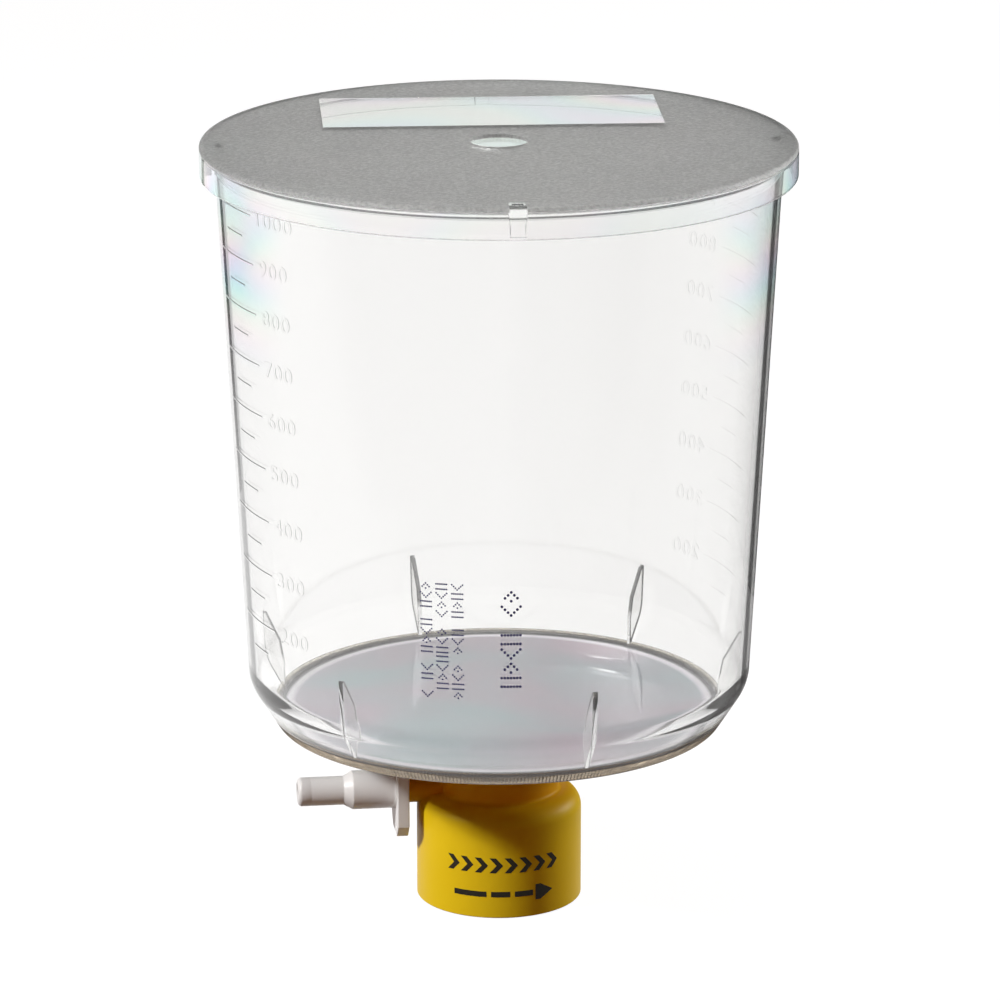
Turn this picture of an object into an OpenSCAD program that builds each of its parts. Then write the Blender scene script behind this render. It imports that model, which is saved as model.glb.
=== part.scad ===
// Bottle-top vacuum filtration unit for the sterile filtering of liquids.
// A clear lidded funnel feeds a flat membrane. A grooved plate carries the membrane
// and drains it through a spout. A screw collar joins the plate to a bottle's neck,
// and its side port draws the vacuum from the bottle through a hose connector.
// All sizes are in millimetres. The origin is the centre of the collar's foot, +Z is
// up, and the side port points along -X.

/* [Funnel] */
// Radius of the filtering area that shows inside the funnel's foot
seat_r = 46.1; // [38:0.1:56]
// Height from the membrane to the open rim
funnel_h = 117.3; // [95:0.1:150]
// Thickness of the wall
funnel_wall = 1.85; // [1.2:0.05:2.5]
// Draft of the wall, in degrees from vertical
funnel_draft = 3; // [1:0.1:4]
// Width of the foot ring that is welded to the support plate
foot_w = 2.7; // [2.4:0.1:3.5]
// How far the shoulder spreads from the foot to the wall
shoulder_w = 3.35; // [2:0.05:8]
// Lean of the shoulder, in degrees from vertical
shoulder_lean = 32; // [20:1:45]
// Outside radius that rounds the shoulder into the wall
shoulder_round = 8; // [4:0.5:8]
// Bevel on both edges of the open rim
rim_bevel = 0.3; // [0.1:0.05:0.5]

/* [Gusset ribs] */
// Number of gusset ribs round the shoulder
rib_count = 6; // [3:1:12]
// Thickness of a rib
rib_t = 1; // [0.6:0.1:2]
// Height of a rib above the membrane
rib_h = 17; // [14:0.5:24]
// Height of a rib's upright inner edge
rib_upright = 6; // [3:0.5:8]
// Width of a rib's blunt top
rib_top_w = 1; // [0.5:0.1:2]
// Angle of the first rib from +X
rib_turn = 45; // [0:1:60]

/* [Lid] */
// Thickness of the lid's plate
lid_plate = 1.4; // [1.2:0.1:2.5]
// Thickness of the skirt
skirt_t = 1.25; // [0.8:0.05:2]
// Height of the skirt from the lid's top face to its lower edge
skirt_h = 6.5; // [5.5:0.1:12]
// How far the skirt leans in from its lower edge to the top
skirt_draft = 0.2; // [0:0.05:0.4]
// Chamfer round the top edge
lid_chamfer = 0.7; // [0.2:0.1:1]
// Radius of the round dimple at the centre of the lid
dimple_r = 6; // [3:0.5:12]
// Depth of the dimple
dimple_depth = 0.8; // [0.2:0.1:1]
// Number of spacer ribs that hold the lid off the rim, so that air gets in
spacer_count = 4; // [3:1:8]
// Width of a spacer rib at the lid's plate
spacer_w = 3.7; // [2:0.1:6]
// Width of a spacer rib at its lower end
spacer_end_w = 3.2; // [2:0.1:6]
// Depth of a spacer rib on the inside of the skirt
spacer_depth = 1.4; // [0.8:0.1:3]
// Height of the air gap between rim and lid
vent_gap = 1.3; // [0.6:0.1:3]
// Angle of the first spacer rib from +X
lid_turn = -3.4; // [-45:0.1:45]

/* [Membrane and support plate] */
// Thickness of the membrane
membrane_t = 0.2; // [0.1:0.05:0.5]
// Width of the membrane's edge that the funnel's foot clamps
clamp_w = 0.6; // [0.3:0.1:1]
// Height of the support plate's rim
plate_rim_h = 3.1; // [2.9:0.1:5]
// Width of the rim's underside
plate_rim_w = 2.8; // [2:0.1:4]
// How far the rim tapers in from top to bottom
rim_taper = 2; // [0:0.1:2.5]
// Thickness of the support plate inside its rim
plate_t = 2.2; // [1.8:0.1:2.4]
// Number of radial drain channels in the plate
channel_count = 12; // [4:1:24]
// Number of ring channels in the plate
ring_count = 5; // [2:1:8]
// Width of a drain channel
channel_w = 1.2; // [0.8:0.1:2]
// Depth of a drain channel
channel_depth = 0.8; // [0.4:0.1:1.2]
// Radius of the drain spout's bore
spout_bore_r = 4; // [3:0.1:4.8]
// Wall of the drain spout at its tip
spout_wall = 1.1; // [0.8:0.1:1.3]
// How much wider the spout is at the plate than at its tip
spout_taper = 0.7; // [0:0.1:0.9]
// Height of the spout's tip above the bottle's lip
spout_clear = 1.1; // [0.5:0.1:6]
// Length of the socket ring that holds the adapter's neck
socket_h = 6; // [4:0.5:8]
// Wall of the socket ring
socket_wall = 1.6; // [1:0.1:2.5]

/* [Neck adapter] */
// Radius of the collar's bore at the root of its thread
thread_root_r = 16.45; // [13:0.05:22]
// Length of the threaded bore
thread_l = 18.4; // [15:0.1:24]
// Wall of the collar outside its thread
collar_wall = 0.95; // [0.8:0.05:2]
// Thickness of the collar's roof above the bottle seal
collar_roof = 3.3; // [3:0.1:6]
// Radius that rounds the collar's shoulder
collar_round = 4; // [1:0.5:4]
// Rounding of the collar's lower edge
foot_round = 0.3; // [0.1:0.1:0.4]
// Height of the upper neck between the collar and the support plate's rim
neck_h = 16.6; // [14:0.1:25]
// Wall of the upper neck
neck_wall = 1.8; // [1.2:0.1:2.2]
// Radius of the fillet where the neck meets the collar
neck_fillet = 0.8; // [0.4:0.1:1.5]

/* [Bottle seal] */
// Thickness of the sealing ring
seal_t = 1.6; // [1:0.1:2]
// Step between the threaded bore and the seat of the sealing ring
seal_step = 0.45; // [0.2:0.05:1]
// How far the sealing ring stands back from the bore of the neck
seal_setback = 0.8; // [0.2:0.1:1.5]

/* [Side port and hose connector] */
// Height of the side port's axis above the collar's roof
port_rise = 0.5; // [0.4:0.1:4]
// Distance from the collar's side to the end of the side port
port_stand = 2.3; // [1:0.1:10]
// Radius of the side port's bore
port_bore_r = 2.1; // [1.7:0.1:2.6]
// Wall of the side port
port_wall = 1; // [0.8:0.1:1.2]
// Length of the connector's spigot inside the side port
spigot_l = 5; // [3:0.5:6]
// Thickness of the connector's flange
flange_t = 2.5; // [1.5:0.1:4]
// Width of the flange
flange_w = 13; // [10:0.5:16]
// Height of the flange
flange_h = 19; // [12:0.5:22]
// Chamfer across the flange's corners
flange_cut = 2.9; // [1:0.1:4]
// Radius of the large hose barrel
barrel_r = 4.1; // [3.9:0.1:5]
// Length of the large hose barrel
barrel_l = 9.2; // [6:0.1:14]
// Length of the cone between the two barrels
cone_l = 1.5; // [1:0.1:4]
// Radius of the small hose barrel
nipple_r = 3.05; // [2.5:0.05:3.7]
// Length of the small hose barrel with its rounded tip
nipple_l = 9.9; // [9:0.1:14]
// Wall of the small hose barrel
nipple_wall = 1.05; // [0.8:0.05:1.2]
// Rounding of the small barrel's tip
tip_round = 0.9; // [0.3:0.1:1]
// Radius of the narrow air bore behind the filter plug
air_bore_r = 1.2; // [0.8:0.1:1.2]
// Length of the filter plug
plug_l = 7; // [4:0.5:8]
// Depth of the filter plug below the tip
plug_inset = 0.8; // [0.5:0.1:2]

/* [Fits] */
// Radial gap between parts that are bonded, clamped or pushed together
bond_gap = 0.05; // [0.02:0.01:0.1]
// Radial gap between the lid's spacer ribs and the funnel
lid_gap = 0.4; // [0.3:0.05:1]

/* [Hidden] */
$fn = 180;
cut = 1; // how far a cutting shape runs past the face that it opens
arc_steps = 6; // straight facets in a rounded edge

// heights, from the collar's foot upwards
roof_z = thread_l + seal_t; // underside of the collar's roof
collar_h = roof_z + collar_roof;
port_z = collar_h + port_rise;
plate_z = collar_h + neck_h; // underside of the support plate's rim
seat_z = plate_z + plate_rim_h; // top of the membrane, where the funnel's foot stands
membrane_z = seat_z - membrane_t; // underside of the membrane
disc_z = membrane_z - plate_t; // underside of the support plate inside its rim
rim_z = seat_z + funnel_h; // open rim of the funnel
lid_under_z = rim_z + vent_gap; // underside of the lid's plate
lid_top_z = lid_under_z + lid_plate;
skirt_z = lid_top_z - skirt_h; // lower edge of the lid's skirt
spout_z = thread_l + spout_clear; // tip of the drain spout

// radii about the main axis
foot_r = seat_r + foot_w;
rim_r = foot_r + shoulder_w + funnel_h * tan(funnel_draft);
skirt_in_r = rim_r + lid_gap + spacer_depth;
lid_r = skirt_in_r + skirt_t;
membrane_r = seat_r + clamp_w;
pocket_r = membrane_r + bond_gap; // pocket of the support plate that locates the membrane
drain_edge_r = foot_r - rim_taper - plate_rim_w; // inner edge of the rim's underside
collar_r = thread_root_r + collar_wall;
neck_r = collar_r - collar_round - neck_fillet;
neck_bore_r = neck_r - neck_wall;
seal_seat_r = thread_root_r - seal_step;

// radii and distances along the side port, measured from the main axis
port_r = port_bore_r + port_wall;
port_end = collar_r + port_stand;
spigot_start = port_end - spigot_l;
flange_end = port_end + flange_t;
barrel_end = flange_end + barrel_l;
nipple_start = barrel_end + cone_l;
tip_end = nipple_start + nipple_l;
plug_end = tip_end - plug_inset;
plug_start = plug_end - plug_l;
plug_bore_r = nipple_r - nipple_wall;

function reversed(points) = [for (i = [len(points) - 1:-1:0]) points[i]];

// points on an arc about a centre, from one angle to another
function arc(centre, r, from, to) =
    [for (i = [0:arc_steps]) let (a = from + (to - from) * i / arc_steps)
        centre + r * [cos(a), sin(a)]];

// radius of the funnel's outer wall at a height
function wall_r(z) = rim_r - (rim_z - z) * tan(funnel_draft);

// corner where a shoulder that starts at a radius on the seat meets the wall's face
function shoulder_corner(start_r, inset) =
    let (rise = (wall_r(seat_z) - inset - start_r) / (tan(shoulder_lean) - tan(funnel_draft)))
    [start_r + rise * tan(shoulder_lean), seat_z + rise];

// rounded form of such a corner, from the shoulder up to the wall
function shoulder_arc(corner, r) =
    let (reach = r * tan((shoulder_lean - funnel_draft) / 2),
        start = corner - reach * [sin(shoulder_lean), cos(shoulder_lean)],
        centre = start + r * [-cos(shoulder_lean), sin(shoulder_lean)])
    arc(centre, r, -shoulder_lean, -funnel_draft);

// gusset rib that stiffens the shoulder, with its outer edge inside the wall
module gusset_rib() {
    corner = shoulder_corner(seat_r, funnel_wall);
    top_z = seat_z + rib_h;
    top_r = wall_r(top_z) - funnel_wall;
    knee = [seat_r + (top_r - seat_r) * 0.18,
        seat_z + rib_upright + (rib_h - rib_upright) * 0.45];
    rotate([90, 0, 0])
        linear_extrude(rib_t, center = true)
            polygon([
                [seat_r, seat_z],
                [seat_r, seat_z + rib_upright],
                knee,
                [top_r - rib_top_w, top_z],
                [top_r + funnel_wall / 2, top_z],
                corner + [funnel_wall / 2, 0],
                [seat_r + foot_w / 2, seat_z]]);
}

module funnel() {
    outer = shoulder_arc(shoulder_corner(foot_r, 0), shoulder_round);
    inner = shoulder_arc(shoulder_corner(seat_r, funnel_wall), shoulder_round - funnel_wall);
    bevel_z = rim_z - rim_bevel;
    color("aliceblue", 0.4) {
        rotate_extrude()
            polygon(concat(
                [[seat_r, seat_z], [foot_r, seat_z]],
                outer,
                [[wall_r(bevel_z), bevel_z],
                    [rim_r - rim_bevel, rim_z],
                    [rim_r - funnel_wall + rim_bevel, rim_z],
                    [wall_r(bevel_z) - funnel_wall, bevel_z]],
                reversed(inner)));
        for (i = [0:rib_count - 1])
            rotate(rib_turn + i * 360 / rib_count) gusset_rib();
    }
}

// spacer rib: a pad that rests on the funnel's rim and a key down the inside of the skirt
module spacer_rib() {
    pad_r = rim_r - funnel_wall - 1;
    key_r = rim_r + lid_gap;
    in_skirt = skirt_in_r + skirt_t / 2;
    in_plate = lid_under_z + lid_plate / 4;
    key_z = skirt_z + 0.4;
    translate([pad_r, -spacer_w / 2, rim_z])
        cube([in_skirt - pad_r, spacer_w, in_plate - rim_z]);
    translate([key_r, 0, 0])
        rotate([90, 0, 90])
            linear_extrude(in_skirt - key_r)
                polygon([
                    [-spacer_end_w / 2, key_z],
                    [spacer_end_w / 2, key_z],
                    [spacer_w / 2, in_plate],
                    [-spacer_w / 2, in_plate]]);
}

module lid() {
    top_r = lid_r - skirt_draft;
    color("lightgray", 0.6) {
        rotate_extrude()
            polygon([
                [0, lid_under_z],
                [skirt_in_r, lid_under_z],
                [skirt_in_r, skirt_z],
                [lid_r, skirt_z],
                [top_r, lid_top_z - lid_chamfer],
                [top_r - lid_chamfer, lid_top_z],
                [dimple_r, lid_top_z],
                [dimple_r, lid_top_z - dimple_depth],
                [0, lid_top_z - dimple_depth]]);
        for (i = [0:spacer_count - 1])
            rotate(lid_turn + i * 360 / spacer_count) spacer_rib();
    }
}

module membrane() {
    color("silver")
        translate([0, 0, membrane_z]) cylinder(r = membrane_r, h = membrane_t);
}

// shallow channels under the membrane that lead the liquid to the spout
module drain_channels() {
    floor_z = membrane_z - channel_depth;
    for (i = [0:channel_count - 1])
        rotate(i * 360 / channel_count)
            translate([0, -channel_w / 2, floor_z])
                cube([drain_edge_r, channel_w, channel_depth + cut]);
    for (i = [1:ring_count])
        rotate_extrude()
            translate([spout_bore_r + (drain_edge_r - spout_bore_r) * i / (ring_count + 1), floor_z])
                square([channel_w, channel_depth + cut]);
}

module support_plate() {
    spout_tip_r = spout_bore_r + spout_wall;
    socket_r = neck_r + bond_gap;
    socket_z = disc_z - socket_h;
    color("wheat", 0.6)
        difference() {
            rotate_extrude()
                polygon([
                    [spout_bore_r, spout_z],
                    [spout_tip_r, spout_z],
                    [spout_tip_r + spout_taper, disc_z],
                    [socket_r, disc_z],
                    [socket_r, socket_z],
                    [socket_r + socket_wall, socket_z],
                    [socket_r + socket_wall, disc_z],
                    [drain_edge_r, disc_z],
                    [drain_edge_r, plate_z],
                    [foot_r - rim_taper, plate_z],
                    [foot_r, seat_z],
                    [pocket_r, seat_z],
                    [pocket_r, membrane_z],
                    [spout_bore_r, membrane_z]]);
            drain_channels();
        }
}

module neck_adapter() {
    shoulder_z = collar_h - collar_round;
    color("gold")
        difference() {
            union() {
                rotate_extrude()
                    polygon(concat(
                        [[thread_root_r, 0]],
                        arc([collar_r - foot_round, foot_round], foot_round, -90, 0),
                        arc([collar_r - collar_round, shoulder_z], collar_round, 0, 90),
                        arc([neck_r + neck_fillet, collar_h + neck_fillet], neck_fillet, 270, 180),
                        [[neck_r, disc_z],
                            [neck_bore_r, disc_z],
                            [neck_bore_r, roof_z],
                            [seal_seat_r, roof_z],
                            [seal_seat_r, thread_l],
                            [thread_root_r, thread_l]]));
                side_axis(neck_bore_r + neck_wall / 2)
                    cylinder(r = port_r, h = port_end - neck_bore_r - neck_wall / 2);
            }
            side_axis(neck_bore_r - cut)
                cylinder(r = port_bore_r, h = port_end - neck_bore_r + 2 * cut);
        }
}

module bottle_seal() {
    seal_bore_r = neck_bore_r + seal_setback;
    color("gainsboro")
        translate([0, 0, thread_l])
            difference() {
                cylinder(r = seal_seat_r - bond_gap, h = seal_t);
                translate([0, 0, -cut]) cylinder(r = seal_bore_r, h = seal_t + 2 * cut);
            }
}

// places a shape on the side port's axis, with its own +Z pointing outwards
module side_axis(start) {
    translate([-start, 0, port_z]) rotate([0, -90, 0]) children();
}

// eight-sided flange, its height along the shape's own X
module flange() {
    x = flange_h / 2;
    y = flange_w / 2;
    linear_extrude(flange_t)
        polygon([
            [x - flange_cut, y], [flange_cut - x, y],
            [-x, y - flange_cut], [-x, flange_cut - y],
            [flange_cut - x, -y], [x - flange_cut, -y],
            [x, flange_cut - y], [x, y - flange_cut]]);
}

module hose_connector() {
    color("whitesmoke")
        difference() {
            union() {
                side_axis(spigot_start)
                    cylinder(r = port_bore_r - bond_gap, h = spigot_l + flange_t / 2);
                side_axis(port_end) flange();
                side_axis(0)
                    rotate_extrude()
                        polygon(concat(
                            [[0, port_end + flange_t / 2],
                                [barrel_r, port_end + flange_t / 2],
                                [barrel_r, barrel_end],
                                [nipple_r, nipple_start]],
                            arc([nipple_r - tip_round, tip_end - tip_round], tip_round, 0, 90),
                            [[0, tip_end]]));
            }
            side_axis(spigot_start - cut) cylinder(r = air_bore_r, h = tip_end - spigot_start + 2 * cut);
            side_axis(plug_start) cylinder(r = plug_bore_r, h = tip_end - plug_start + cut);
        }
}

module plug_filter() {
    color("white")
        side_axis(plug_start) cylinder(r = plug_bore_r - bond_gap, h = plug_l);
}

lid();
funnel();
membrane();
support_plate();
neck_adapter();
bottle_seal();
hose_connector();
plug_filter();
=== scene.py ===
from math import cos, degrees, hypot, pi, radians, sin, tan

import bmesh
import bpy
import numpy as np
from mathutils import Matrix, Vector


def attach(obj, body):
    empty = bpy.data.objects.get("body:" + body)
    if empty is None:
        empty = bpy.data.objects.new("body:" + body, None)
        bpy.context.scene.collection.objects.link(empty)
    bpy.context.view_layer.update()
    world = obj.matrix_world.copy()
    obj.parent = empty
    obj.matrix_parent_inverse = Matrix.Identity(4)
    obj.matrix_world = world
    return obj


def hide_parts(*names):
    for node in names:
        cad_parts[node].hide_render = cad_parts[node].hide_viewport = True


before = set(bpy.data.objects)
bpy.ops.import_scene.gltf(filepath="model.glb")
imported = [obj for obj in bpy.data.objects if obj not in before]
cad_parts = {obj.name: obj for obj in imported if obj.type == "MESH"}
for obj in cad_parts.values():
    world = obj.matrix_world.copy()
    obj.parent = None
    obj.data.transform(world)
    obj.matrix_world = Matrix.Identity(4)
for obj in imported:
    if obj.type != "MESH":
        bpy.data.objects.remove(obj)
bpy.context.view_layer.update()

# ---- Viewpoint ---------------------------------------------------------------------
# The camera stands a good metre in front of the unit and looks down on it, turned a few
# degrees so that the side port comes out to the left.
look_down, look_aside = 16.24, -7


def placed(name, data):
    """Object for a mesh, lamp or camera, in the scene."""
    thing = bpy.data.objects.new(name, data)
    bpy.context.scene.collection.objects.link(thing)
    return thing


lens = bpy.data.cameras.new("viewpoint")
lens.lens = 195.2
camera = placed("viewpoint", lens)
camera.location = (-0.1320, -1.0769, 0.4024)
camera.rotation_euler = (radians(90 - look_down), 0, radians(look_aside))
bpy.context.scene.camera = camera
bpy.context.scene.view_settings.view_transform = "Standard"


# ---- Studio ------------------------------------------------------------------------
# A pale seamless floor under a soft surround, a firm key light from the left, a wide
# weaker one from behind on the right, and two dark screens that only gloss picks up.
MIDDLE_Z = 0.08
SIDE_X, SIDE_Y, SCREEN_OFF = 0.0566, -0.007, 0.2
FLOOR_LEVEL, BORE_LIGHT_R = 0.955, 0.0164
WHITE = (1, 1, 1, 1)


def node_tree(owner, name=None):
    """Empty node tree of a new material, or of the world."""
    if owner is None:
        owner = bpy.data.materials.new(name)
    owner.use_nodes = True
    owner.node_tree.nodes.clear()
    return owner, owner.node_tree


def add_node(tree, kind, inputs=(), **settings):
    """Node of a kind, with settings as attributes and inputs by name or number.

    An input is a value, a socket, or a node, which stands for its first output.
    """
    node = tree.nodes.new("ShaderNode" + kind)
    for key, value in settings.items():
        setattr(node, key, value)
    for key, value in dict(inputs).items():
        if isinstance(value, bpy.types.Node):
            value = value.outputs[0]
        if isinstance(value, bpy.types.NodeSocket):
            tree.links.new(value, node.inputs[key])
        else:
            node.inputs[key].default_value = value
    return node


def arith(tree, operation, a, b=0.0, c=0.0):
    """Result of one Math node."""
    return add_node(tree, "Math", {0: a, 1: b, 2: c}, operation=operation).outputs[0]


def product(tree, first, *others):
    """Several values or masks multiplied together."""
    for other in others:
        first = arith(tree, "MULTIPLY", first, other)
    return first


def inverse(tree, mask):
    """Mask of all that another leaves out."""
    return arith(tree, "SUBTRACT", 1.0, mask)


def under(tree, value, limit):
    """Mask of where a value is below a limit."""
    return arith(tree, "LESS_THAN", value, limit)


def over(tree, value, limit):
    """Mask of where a value is above a limit."""
    return arith(tree, "GREATER_THAN", value, limit)


def near(tree, value, middle, half):
    """Mask of where a value is less than half a width from its middle."""
    return under(tree, arith(tree, "ABSOLUTE", arith(tree, "SUBTRACT", value, middle)), half)


def ramp(tree, value, low, high, start=0.0, end=1.0, **settings):
    """Level that goes from start to end as a value goes from low to high."""
    return add_node(tree, "MapRange", {0: value, 1: low, 2: high, 3: start, 4: end},
                    **settings).outputs[0]


def axes(tree, vector):
    """The x, y and z of a vector."""
    return add_node(tree, "SeparateXYZ", {0: vector}).outputs


def vector_sum(tree, operation, a, b=(0, 0, 0)):
    """The two outputs, vector and value, of one Vector Math node."""
    return add_node(tree, "VectorMath", {0: a, 1: b}, operation=operation).outputs


def dot(tree, a, b):
    """Dot product of two vectors."""
    return vector_sum(tree, "DOT_PRODUCT", a, b)["Value"]


def flattened(tree, vector):
    """A vector without its height."""
    return vector_sum(tree, "MULTIPLY", vector, (1, 1, 0))[0]


def length(tree, vector):
    """Length of a vector."""
    return vector_sum(tree, "LENGTH", vector)["Value"]


def here(tree):
    """Place on the object."""
    return add_node(tree, "TexCoord").outputs["Object"]


def gloss_ray(tree):
    """Mask of what is seen in gloss, and not through clear plastic."""
    path = add_node(tree, "LightPath").outputs
    return product(tree, path["Is Glossy Ray"], inverse(tree, path["Is Transmission Ray"]))


def seen_ray(tree):
    """Mask of what is seen straight, in gloss or through clear plastic."""
    path = add_node(tree, "LightPath").outputs
    bent = arith(tree, "MAXIMUM", path["Is Glossy Ray"], path["Is Transmission Ray"])
    first = under(tree, path["Diffuse Depth"], 0.5)
    return arith(tree, "MAXIMUM", path["Is Camera Ray"], product(tree, bent, first))


def lamp(name, azimuth, elevation, distance, size, power):
    """Square soft lamp at an azimuth and elevation in degrees, aimed at the unit."""
    a, e = radians(azimuth), radians(elevation)
    data = bpy.data.lights.new(name, "AREA")
    data.size = size
    data.energy = power
    thing = placed(name, data)
    thing.location = (distance * cos(e) * cos(a),
                      distance * cos(e) * sin(a),
                      MIDDLE_Z + distance * sin(e))
    aim = Vector((0, 0, MIDDLE_Z)) - thing.location
    thing.rotation_euler = aim.to_track_quat("-Z", "Y").to_euler()
    thing.visible_transmission = False


lamp("key_light", 201, 33.4, 1.3, 0.11, 16.3)
lamp("back_light", 19, 22, 1.1, 0.5, 9)

world = bpy.data.worlds.new("surround")
bpy.context.scene.world = world
_, tree = node_tree(world)
heading = add_node(tree, "TexCoord").outputs["Generated"]
fill = ramp(tree, axes(tree, heading)[2], 0.25, 0.6, 0.15, 0.03)
soft = add_node(tree, "Background", {"Color": (1, 0.28, 0.1, 1), "Strength": fill})
shine = arith(tree, "MULTIPLY_ADD", gloss_ray(tree), -0.45, 1.0)
# Two narrow bright panes behind the unit, a wide weak one round a strong one, which fade
# out by their width and height in degrees.
for azimuth, elevation, wide, tall, strength in ((80.15, 11.7, 0.35, 1.4, 5.0),
                                                 (80.4, 16.3, 0.9, 2.2, 1.5)):
    a, e = radians(azimuth), radians(elevation)
    aside = dot(tree, heading, (-sin(a), cos(a), 0))
    above = dot(tree, heading, (-sin(e) * cos(a), -sin(e) * sin(a), cos(e)))
    behind = over(tree, dot(tree, heading, (cos(a), sin(a), 0)), 0.5)
    off = [arith(tree, "POWER", arith(tree, "DIVIDE", way, radians(reach)), 2.0)
           for way, reach in ((aside, wide), (above, tall))]
    off = product(tree, arith(tree, "ADD", *off), -1.0)
    glint = product(tree, arith(tree, "EXPONENT", off), behind)
    shine = arith(tree, "MULTIPLY_ADD", glint, strength, shine)
white = add_node(tree, "Background", {"Color": WHITE, "Strength": shine})
pick = add_node(tree, "MixShader", {0: seen_ray(tree), 1: soft, 2: white})
add_node(tree, "OutputWorld", {"Surface": pick})


def flat_sheet(name, corners):
    """Object of one flat face."""
    mesh = bpy.data.meshes.new(name)
    mesh.from_pydata(corners, [], [(0, 1, 2, 3)])
    return placed(name, mesh)


half_side, ground_z = 6.0, -2e-4
floor = flat_sheet("floor", [(half_side * i, half_side * j, ground_z)
                             for i, j in ((-1, -1), (1, -1), (1, 1), (-1, 1))])
paint, tree = node_tree(None, "floor_paint")
ground = add_node(tree, "NewGeometry").outputs
x, y, _ = axes(tree, ground["Position"])
# In gloss the floor is dimmer on the right, and most in a wedge behind that side.
beside = vector_sum(tree, "SUBTRACT", ground["Position"], (SIDE_X, SIDE_Y, 0))[0]
ahead = dot(tree, beside, (0.5, 0.866, 0))
aside = dot(tree, beside, (-0.866, 0.5, 0))
ratio = arith(tree, "DIVIDE", aside, arith(tree, "MAXIMUM", ahead, 1e-4))
wedge = product(tree, ramp(tree, ratio, -0.85, -0.3), under(tree, ratio, 0.5),
                near(tree, ahead, 0.1, 0.1))
loss = arith(tree, "MULTIPLY_ADD", wedge, 0.5, ramp(tree, x, -0.04, 0.05, 0.0, 0.4))
level = arith(tree, "SUBTRACT", FLOOR_LEVEL, product(tree, gloss_ray(tree), loss))
# Through clear plastic it is a little dimmer far in front and on the right.
front = ramp(tree, y, -0.12, -0.2, 0.0, 0.22)
right = ramp(tree, arith(tree, "MULTIPLY_ADD", y, -0.123, x), 0.02, 0.05, 0.0, 0.035)
bent = add_node(tree, "LightPath").outputs["Is Transmission Ray"]
level = arith(tree, "SUBTRACT", level, product(tree, bent, arith(tree, "ADD", front, right)))
glow = add_node(tree, "Emission", {"Color": WHITE, "Strength": level})
shaded = add_node(tree, "BsdfDiffuse", {"Color": (0.12, 0.12, 0.12, 1)})
bright = add_node(tree, "AddShader", {0: shaded, 1: glow})
# The floor throws a plain warm light on the unit, and some more up the collar's bore.
in_bore = under(tree, length(tree, flattened(tree, ground["Position"])), BORE_LIGHT_R)
upcast = add_node(tree, "Emission", {"Color": (1, 0.97, 0.93, 1),
                                     "Strength": product(tree, in_bore, 0.7)})
plain = add_node(tree, "BsdfDiffuse", {"Color": (0.12, 0.065, 0.04, 1)})
plain = add_node(tree, "AddShader", {0: plain, 1: upcast})
pick = add_node(tree, "MixShader", {0: seen_ray(tree), 1: plain, 2: bright})
top = add_node(tree, "MixShader", {0: ground["Backfacing"], 1: pick,
                                   2: add_node(tree, "BsdfTransparent")})
add_node(tree, "OutputMaterial", {"Surface": top})
floor.data.materials.append(paint)


def dark_screen(name, side_x, turn, across, upright, axis, fade):
    """Dark upright screen that only gloss picks up, set off one side of the funnel.

    across and upright are its reach, and fade is how it comes in along one of its axes.
    """
    (left, right), (low, high) = across, upright
    screen = flat_sheet("dark_" + name, [(0, left, low), (0, right, low), (0, right, high),
                                         (0, left, high)])
    a = radians(turn)
    screen.location = (side_x + SCREEN_OFF * cos(a), SIDE_Y + SCREEN_OFF * sin(a), 0)
    screen.rotation_euler = (0, 0, a)
    screen.visible_camera = screen.visible_diffuse = screen.visible_shadow = False
    paint, tree = node_tree(None, name + "_paint")
    shown = product(tree, gloss_ray(tree), ramp(tree, axes(tree, here(tree))[axis], *fade))
    black = add_node(tree, "BsdfDiffuse", {"Color": (0.01, 0.01, 0.01, 1)})
    pick = add_node(tree, "MixShader", {0: shown, 1: add_node(tree, "BsdfTransparent"),
                                        2: black})
    add_node(tree, "OutputMaterial", {"Surface": pick})
    screen.data.materials.append(paint)
    return screen


card = dark_screen("card", SIDE_X, 60, (-0.17, 0.1), (-0.01, 0.22), 1, (-0.17, -0.06))
strip = dark_screen("strip", -SIDE_X, 106, (-0.0115, 0.0105), (0.03, 0.25),
                    2, (0.03, 0.07, 0.3, 1.0))


# ---- Funnel ------------------------------------------------------------------------
# A clear cup injection-moulded in polystyrene, with six gusset ribs round its shoulder
# and a volume scale raised on two sides. Its foot is welded to the support plate.
SEAT_Z, RIM_Z = 43.0, 160.3
FOOT_R, SEAT_R, RIM_R, WALL = 48.8, 46.1, 58.3, 1.85
DRAFT, LEAN = radians(3), radians(32)
MM = 0.001


def outer_r(z):
    """Radius of the funnel's outer wall at a height, in millimetres."""
    return RIM_R - (RIM_Z - z) * tan(DRAFT)


def bend(centre, radius, start, end, steps):
    """Points on an arc in a profile, from one angle in degrees to another."""
    angles = np.radians(np.linspace(start, end, steps + 1))
    return [(centre[0] + radius * cos(a), centre[1] + radius * sin(a)) for a in angles]


def shoulder(start_r, inset, radius, steps=14):
    """Rounded corner between the leaning shoulder and the drafted wall."""
    rise = (outer_r(SEAT_Z) - inset - start_r) / (tan(LEAN) - tan(DRAFT))
    reach = radius * tan((LEAN - DRAFT) / 2)
    start = (start_r + rise * tan(LEAN) - reach * sin(LEAN),
             SEAT_Z + rise - reach * cos(LEAN))
    centre = (start[0] - radius * cos(LEAN), start[1] + radius * sin(LEAN))
    return bend(centre, radius, -degrees(LEAN), -degrees(DRAFT), steps)


def swing(x, y, turn):
    """Point turned about the axis by an angle in degrees."""
    a = radians(turn)
    return x * cos(a) - y * sin(a), x * sin(a) + y * cos(a)


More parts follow.
